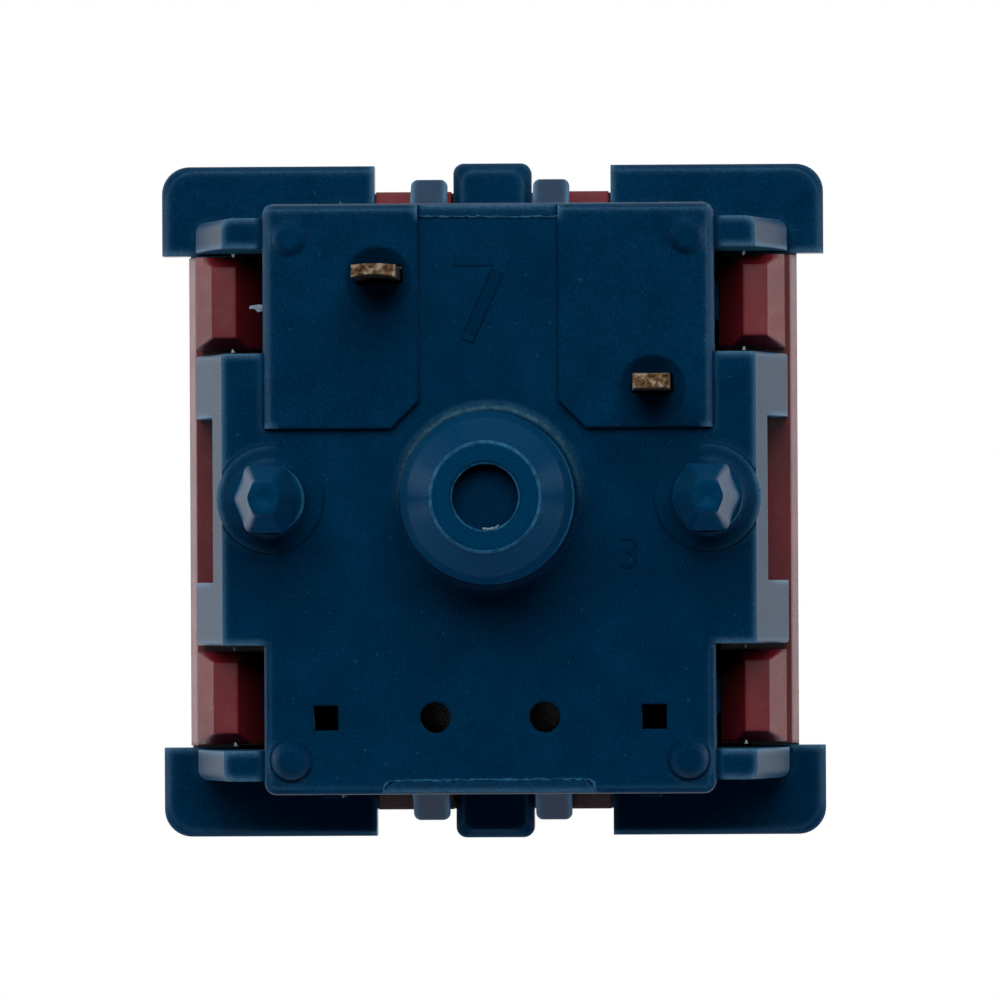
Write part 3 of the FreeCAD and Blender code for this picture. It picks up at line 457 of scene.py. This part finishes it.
# Contacts. Both are stamped from phosphor bronze strip and pressed into the floor from inside.
# The sheared ends of the terminals are rough, mottled brown and pale, and the faces beside them
# are an even, darker brown.

bronze_pale = "#A89C90"
bronze_face = "#7A5E40"
bronze_brown = "#40291A"
bronze_flank = "#4A3426"
tarnish_mm = 0.16
shear_mm = 0.05
bronze_edge_mm = 0.05
tip_mottled_z = -3.27
tip_brown_z = -3.12

contact_bronze, tree, out = new_material("phosphor_bronze_stamped")
place = add(tree, "ShaderNodeTexCoord").outputs["Object"]
tarnish = add(tree, "ShaderNodeTexNoise", {"Scale": 1 / (tarnish_mm * MM), "Detail": 5.0, "Roughness": 0.7},
              {"Vector": place})
tone = add(tree, "ShaderNodeValToRGB", {}, {"Fac": tarnish.outputs["Fac"]})
fill_ramp(tone, [(0.36, linear(bronze_brown)), (0.5, linear(bronze_face)), (0.64, linear(bronze_pale))])
# The tips keep the mottled colour, and the flanks above them are given an even, darker brown.
above_tip = add(tree, "ShaderNodeMapRange", {"From Min": tip_mottled_z * MM, "From Max": tip_brown_z * MM},
                {"Value": add(tree, "ShaderNodeSeparateXYZ", {}, {"Vector": place}).outputs["Z"]})
tone = add(tree, "ShaderNodeMix", {"data_type": "RGBA", "7": linear(bronze_flank)},
           {"Factor": above_tip.outputs["Result"], "6": tone.outputs["Color"]})
# Shear marks run along the stroke of the press, which is along Z on the sheared sides.
stretch = add(tree, "ShaderNodeMapping", {"Scale": (1.0, 1.0, 0.12)}, {"Vector": place})
shear = add(tree, "ShaderNodeTexNoise", {"Scale": 1 / (shear_mm * MM), "Detail": 4.0, "Roughness": 0.7},
            {"Vector": stretch.outputs["Vector"]})
rough = add(tree, "ShaderNodeMapRange", {"From Min": 0.3, "From Max": 0.7, "To Min": 0.28, "To Max": 0.55},
            {"Value": shear.outputs["Fac"]})
edges = add(tree, "ShaderNodeBevel", {"samples": 4, "Radius": bronze_edge_mm * MM})
bump = add(tree, "ShaderNodeBump", {"Strength": 0.8, "Distance": 0.03 * MM},
           {"Height": shear.outputs["Fac"], "Normal": edges.outputs["Normal"]})
shader = add(tree, "ShaderNodeBsdfPrincipled", {"Metallic": 0.9},
             {"Base Color": tone.outputs[2], "Roughness": rough.outputs["Result"],
              "Normal": bump.outputs["Normal"]})
tree.links.new(shader.outputs["BSDF"], out.inputs["Surface"])

for name in ("moving_contact", "fixed_contact"):
    dress(name, contact_bronze)


# Contact bars. Two short bars of a gold alloy are welded to the leaves and cross each other, so
# that they touch at a point. They are rolled, and stay bright.

rolled_line_mm = 0.06

contact_gold, tree, out = new_material("gold_alloy_rolled")
place = add(tree, "ShaderNodeTexCoord").outputs["Object"]
rolled = add(tree, "ShaderNodeTexNoise", {"Scale": 1 / (rolled_line_mm * MM), "Detail": 2.0},
             {"Vector": place})
tone = add(tree, "ShaderNodeValToRGB", {}, {"Fac": rolled.outputs["Fac"]})
fill_ramp(tone, [(0.3, linear("#D9B45C")), (0.7, linear("#E9C874"))])
rough = add(tree, "ShaderNodeMapRange", {"To Min": 0.18, "To Max": 0.32}, {"Value": rolled.outputs["Fac"]})
shader = add(tree, "ShaderNodeBsdfPrincipled", {"Metallic": 1.0},
             {"Base Color": tone.outputs["Color"], "Roughness": rough.outputs["Result"]})
tree.links.new(shader.outputs["BSDF"], out.inputs["Surface"])

for name in ("moving_contact_bar", "fixed_contact_bar"):
    dress(name, contact_gold)


# Moulding burrs. Where the two mould halves and the slides meet, thin slivers of plastic stay on
# the edges. They are a tenth to a third of a millimetre long, and go pale where they are bent.

# The same pale material makes the nibs further down, which are painted glints.
burr_steps = 5
burr_fleck_mm = 0.05
burr_and_glint_grey = "#43545F"
burr_and_glint_pale = "#7C8B96"

pale_burr_and_glint, tree, out = new_material("stress_whitened_nylon_and_glints")
place = add(tree, "ShaderNodeTexCoord").outputs["Object"]
fleck = add(tree, "ShaderNodeTexNoise", {"Scale": 1 / (burr_fleck_mm * MM), "Detail": 2.0},
            {"Vector": place})
tone = add(tree, "ShaderNodeValToRGB", {}, {"Fac": fleck.outputs["Fac"]})
fill_ramp(tone, [(0.35, linear(burr_and_glint_grey)), (0.65, linear(burr_and_glint_pale))])
shader = add(tree, "ShaderNodeBsdfPrincipled", {"IOR": nylon_ior, "Roughness": 0.6},
             {"Base Color": tone.outputs["Color"]})
tree.links.new(shader.outputs["BSDF"], out.inputs["Surface"])


def burr(name, place_mm, direction, size, stoutness, seed):
    """Bent strip of a few uneven facets that stands on an edge, for a torn sliver of plastic and for a
    painted glint.
    """
    root = Vector(place_mm)
    dice = random.Random(seed)
    towards = Vector(direction).normalized()
    aside = towards.cross(Vector((0, 0, 1))).normalized()
    up = aside.cross(towards).normalized()
    shape = bmesh.new()
    rows = []
    for step in range(burr_steps + 1):
        share = step / burr_steps
        width = size * stoutness * (0.55 - 0.4 * share) * (0.8 + 0.5 * dice.random())
        thick = size * 0.16 * (1.1 - share)
        bend = size * (0.35 * share * share + 0.08 * (dice.random() - 0.5))
        middle = towards * size * share + up * bend + aside * size * 0.12 * (dice.random() - 0.5)
        rows.append([shape.verts.new((root + middle + aside * width * sx / 2 + up * thick * sy / 2) * MM)
                     for sx, sy in ((-1, -1), (1, -1), (1, 1), (-1, 1))])
    for row, following in zip(rows, rows[1:]):
        for side in range(4):
            shape.faces.new([row[side - 1], row[side], following[side], following[side - 1]])
    shape.faces.new(rows[0])
    shape.faces.new(list(reversed(rows[-1])))
    bmesh.ops.recalc_face_normals(shape, faces=shape.faces)
    piece = placed(name, shape, pale_burr_and_glint)
    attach(piece, "housing")


burr("burr_pocket", (5.24, 4.46, 1.2), (1, 0.1, -0.2), 0.32, 1.15, 4)
burr("burr_post_dimple", (0.06, -0.75, -2.95), (-1, 0.25, 0.05), 0.38, 0.5, 7)


# Flash. Nylon crept out along the edge of the floor's insert at each end of the mould, and stands
# there as a ragged ridge less than a tenth of a millimetre high, painted as pale as the beads: a painted
# highlight.

flash_step = 0.09
flash_root_depth = 0.035


def flash(name, path_mm, tallest, seed):
    """Ragged ridge of flash that stands on the floor along a line."""
    dice = random.Random(seed)
    shape = bmesh.new()
    rows = []
    for (x0, y0), (x1, y1) in zip(path_mm, path_mm[1:]):
        stations = max(2, round(math.hypot(x1 - x0, y1 - y0) / flash_step))
        for step in range(stations):
            share = step / stations
            middle = Vector((x0 + (x1 - x0) * share, y0 + (y1 - y0) * share, face_z - flash_root_depth))
            aside = Vector((y0 - y1, x1 - x0, 0)).normalized()
            half = 0.014 + 0.024 * dice.random()
            middle += aside * 0.03 * (dice.random() - 0.5)
            peak = middle + Vector((0, 0, -tallest * (0.3 + 0.7 * dice.random() ** 2)))
            corners = (middle - aside * half, middle + aside * half, peak)
            rows.append([shape.verts.new(corner * MM) for corner in corners])
    for row, following in zip(rows, rows[1:]):
        for side in range(3):
            shape.faces.new([row[side - 1], row[side], following[side], following[side - 1]])
    shape.faces.new(rows[0])
    shape.faces.new(list(reversed(rows[-1])))
    bmesh.ops.recalc_face_normals(shape, faces=shape.faces)
    ridge = placed(name, shape, pale_highlight_nylon)
    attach(ridge, "housing")


near_end_mm = ((2.47, -6.86), (2.47, -6.68), (2.33, -6.54), (-2.3, -6.52), (-2.4, -6.6), (-2.48, -6.88))
flash("flash_near_end", near_end_mm, 0.065, 11)
flash("flash_far_end", ((2.1, 6.55), (-2.1, 6.53)), 0.05, 23)

# A pale nib stands at the edges of each pocket: a painted glint where light shows at the pocket's ends.
nib_x = 5.94
nib_size = 0.08
nib_stoutness = 1.8
pocket_edges = (("far", 5.72, -1, 1.1), ("near", 3.42, 1, 0.75))
for side, x in (("left", nib_x), ("right", -nib_x)):
    for row, end in (("top", 1), ("bottom", -1)):
        for edge, y, towards, z in pocket_edges:
            burr(f"nib_{row}_{side}_{edge}", (x, end * y, z), (0.1, end * towards, -0.3), nib_size,
                 nib_stoutness, round(x + 10 * y) + 40 * end)


# Floor and light. The switch stands on its pins on a plain pale floor in a white room. The floor
# shows only from above, so the board side can be looked at from below against the white room.

pin_tip_z = -3.3
floor_gap = 0.01
floor_half_m = 1.5
floor_white = "#ECE8E3"

floor_paint, tree, out = new_material("studio_floor_paint")
path = add(tree, "ShaderNodeLightPath")
side_seen = add(tree, "ShaderNodeNewGeometry")
front = add(tree, "ShaderNodeMath", {"operation": "SUBTRACT", "0": 1.0},
            {"1": side_seen.outputs["Backfacing"]})
eye_or_gloss = add(tree, "ShaderNodeMath", {"operation": "MAXIMUM"},
                   {"0": path.outputs["Is Camera Ray"], "1": path.outputs["Is Glossy Ray"]})
looked_at = add(tree, "ShaderNodeMath", {"operation": "MAXIMUM"},
                {"0": eye_or_gloss.outputs["Value"], "1": path.outputs["Is Transmission Ray"]})
shown = add(tree, "ShaderNodeMath", {"operation": "MULTIPLY"},
            {"0": looked_at.outputs["Value"], "1": front.outputs["Value"]})
clear = add(tree, "ShaderNodeBsdfTransparent")
paint = add(tree, "ShaderNodeBsdfDiffuse", {"Color": linear(floor_white)})
mixed = add(tree, "ShaderNodeMixShader", {},
            {"Fac": shown.outputs["Value"], "1": clear.outputs["BSDF"], "2": paint.outputs["BSDF"]})
tree.links.new(mixed.outputs["Shader"], out.inputs["Surface"])

shape = bmesh.new()
bmesh.ops.create_grid(shape, x_segments=1, y_segments=1, size=floor_half_m)
studio_floor = placed("studio_floor", shape, floor_paint)
studio_floor.location.z = (pin_tip_z - floor_gap) * MM

# The light that falls on the switch comes from the room behind and above it, brightest low round
# its sides, and is weak from underneath. To the camera, in gloss and through glass the room is
# white all round.
room = bpy.data.worlds.new("white_room")
bpy.context.scene.world = room
room.use_nodes = True
tree = room.node_tree
tree.nodes.clear()
direction = add(tree, "ShaderNodeTexCoord").outputs["Generated"]
height = add(tree, "ShaderNodeSeparateXYZ", {}, {"Vector": direction}).outputs["Z"]
share = add(tree, "ShaderNodeMapRange", {"From Min": -1.0, "From Max": 1.0}, {"Value": height})
level = add(tree, "ShaderNodeValToRGB", {}, {"Fac": share.outputs["Result"]})
fill_ramp(level, [(0.0, grey(0.04)), (0.36, grey(0.06)), (0.5, grey(0.16)), (0.62, grey(1.0)),
                  (0.8, grey(0.8)), (0.92, grey(0.4))])
# A dark screen stands on the near side, so the level falls off towards -Y.
near = add(tree, "ShaderNodeMapRange", {"From Min": -0.75, "From Max": -0.2, "To Min": 0.08, "To Max": 1.0},
           {"Value": add(tree, "ShaderNodeSeparateXYZ", {}, {"Vector": direction}).outputs["Y"]})
screened = add(tree, "ShaderNodeMix", {"data_type": "RGBA", "blend_type": "MULTIPLY", "Factor": 1.0},
               {"6": level.outputs["Color"], "7": near.outputs["Result"]})
daylight = (0.88, 1.0, 1.07, 1.0)
cool = add(tree, "ShaderNodeMix",
           {"data_type": "RGBA", "blend_type": "MULTIPLY", "Factor": 1.0, "7": daylight},
           {"6": screened.outputs[2]})
lit = add(tree, "ShaderNodeBackground", {"Strength": 1.8}, {"Color": cool.outputs[2]})
white = add(tree, "ShaderNodeBackground", {"Color": grey(1), "Strength": 1.0})
path = add(tree, "ShaderNodeLightPath")
eye_or_gloss = add(tree, "ShaderNodeMath", {"operation": "MAXIMUM"},
                   {"0": path.outputs["Is Camera Ray"], "1": path.outputs["Is Glossy Ray"]})
looked_at = add(tree, "ShaderNodeMath", {"operation": "MAXIMUM"},
                {"0": eye_or_gloss.outputs["Value"], "1": path.outputs["Is Transmission Ray"]})
seen = add(tree, "ShaderNodeMixShader", {},
           {"Fac": looked_at.outputs["Value"], "1": lit.outputs["Background"],
            "2": white.outputs["Background"]})
add(tree, "ShaderNodeOutputWorld", {}, {"Surface": seen.outputs["Shader"]})

cool_white = "#F4FBFF"
sky_blue = "#84D0F0"
middle_of_switch = Vector((0, 0, 5)) * MM


def soft_box(name, place_mm, size_mm, watts, tint):
    """Soft light that faces the switch."""
    lamp = bpy.data.lights.new(name, "AREA")
    lamp.color = linear(tint)[:3]
    lamp.shape = "RECTANGLE"
    lamp.size, lamp.size_y = (side * MM for side in size_mm)
    lamp.energy = watts
    box = bpy.data.objects.new(name, lamp)
    bpy.context.scene.collection.objects.link(box)
    box.location = Vector(place_mm) * MM
    box.rotation_euler = (middle_of_switch - box.location).to_track_quat("-Z", "Y").to_euler()


soft_box("soft_box_far_low", (10, 190, -330), (360, 240), 1.9, cool_white)
near_reach = 330
for turn in (-50, 0, 50):
    around = math.radians(turn)
    near_place = (near_reach * math.sin(around), -near_reach * math.cos(around), 0)
    soft_box(f"soft_box_near_{turn}", near_place, (300, 120), 0.3, sky_blue)
# A narrow light stands level with the switch on each side, for the gloss of the sloping bevels.
for side, x in (("left", 300), ("right", -300)):
    soft_box(f"soft_box_{side}", (x, 30, 40), (220, 90), 0.35, cool_white)


# Camera. It looks up at the board side, a little off the switch's axis, from about 280 mm with a
# long lens, so that every pin is seen almost end on.

focal_pixels = 12270.0
picture_width = 1000.0
sensor_width = 36.0
lean_x, lean_y = 0.0235, 0.0091
roll = math.radians(0.29)
distance = 281.0
tip_pixel = (485.0, 497.0)

forward = Vector((lean_x, lean_y, 1)).normalized()
right = Vector((-1, 0, lean_x)).normalized()
up = right.cross(forward)
right, up = (right * math.cos(roll) - up * math.sin(roll)), (right * math.sin(roll) + up * math.cos(roll))
tip_right = tip_pixel[0] - picture_width / 2
tip_up = tip_pixel[1] - picture_width / 2
offset = (right * tip_right - up * tip_up) / focal_pixels
position = Vector((0, 0, pin_tip_z)) - (offset + forward) * distance
lens = bpy.data.cameras.new("board_side_camera")
lens.sensor_width = sensor_width
lens.lens = sensor_width * focal_pixels / picture_width
lens.clip_start, lens.clip_end = 0.01, 10.0
camera = bpy.data.objects.new("board_side_camera", lens)
bpy.context.scene.collection.objects.link(camera)
basis = Matrix((right, up, -forward)).transposed().to_4x4()
camera.matrix_world = Matrix.Translation(position * MM) @ basis
bpy.context.scene.camera = camera

bpy.context.scene.view_settings.view_transform = "Standard"
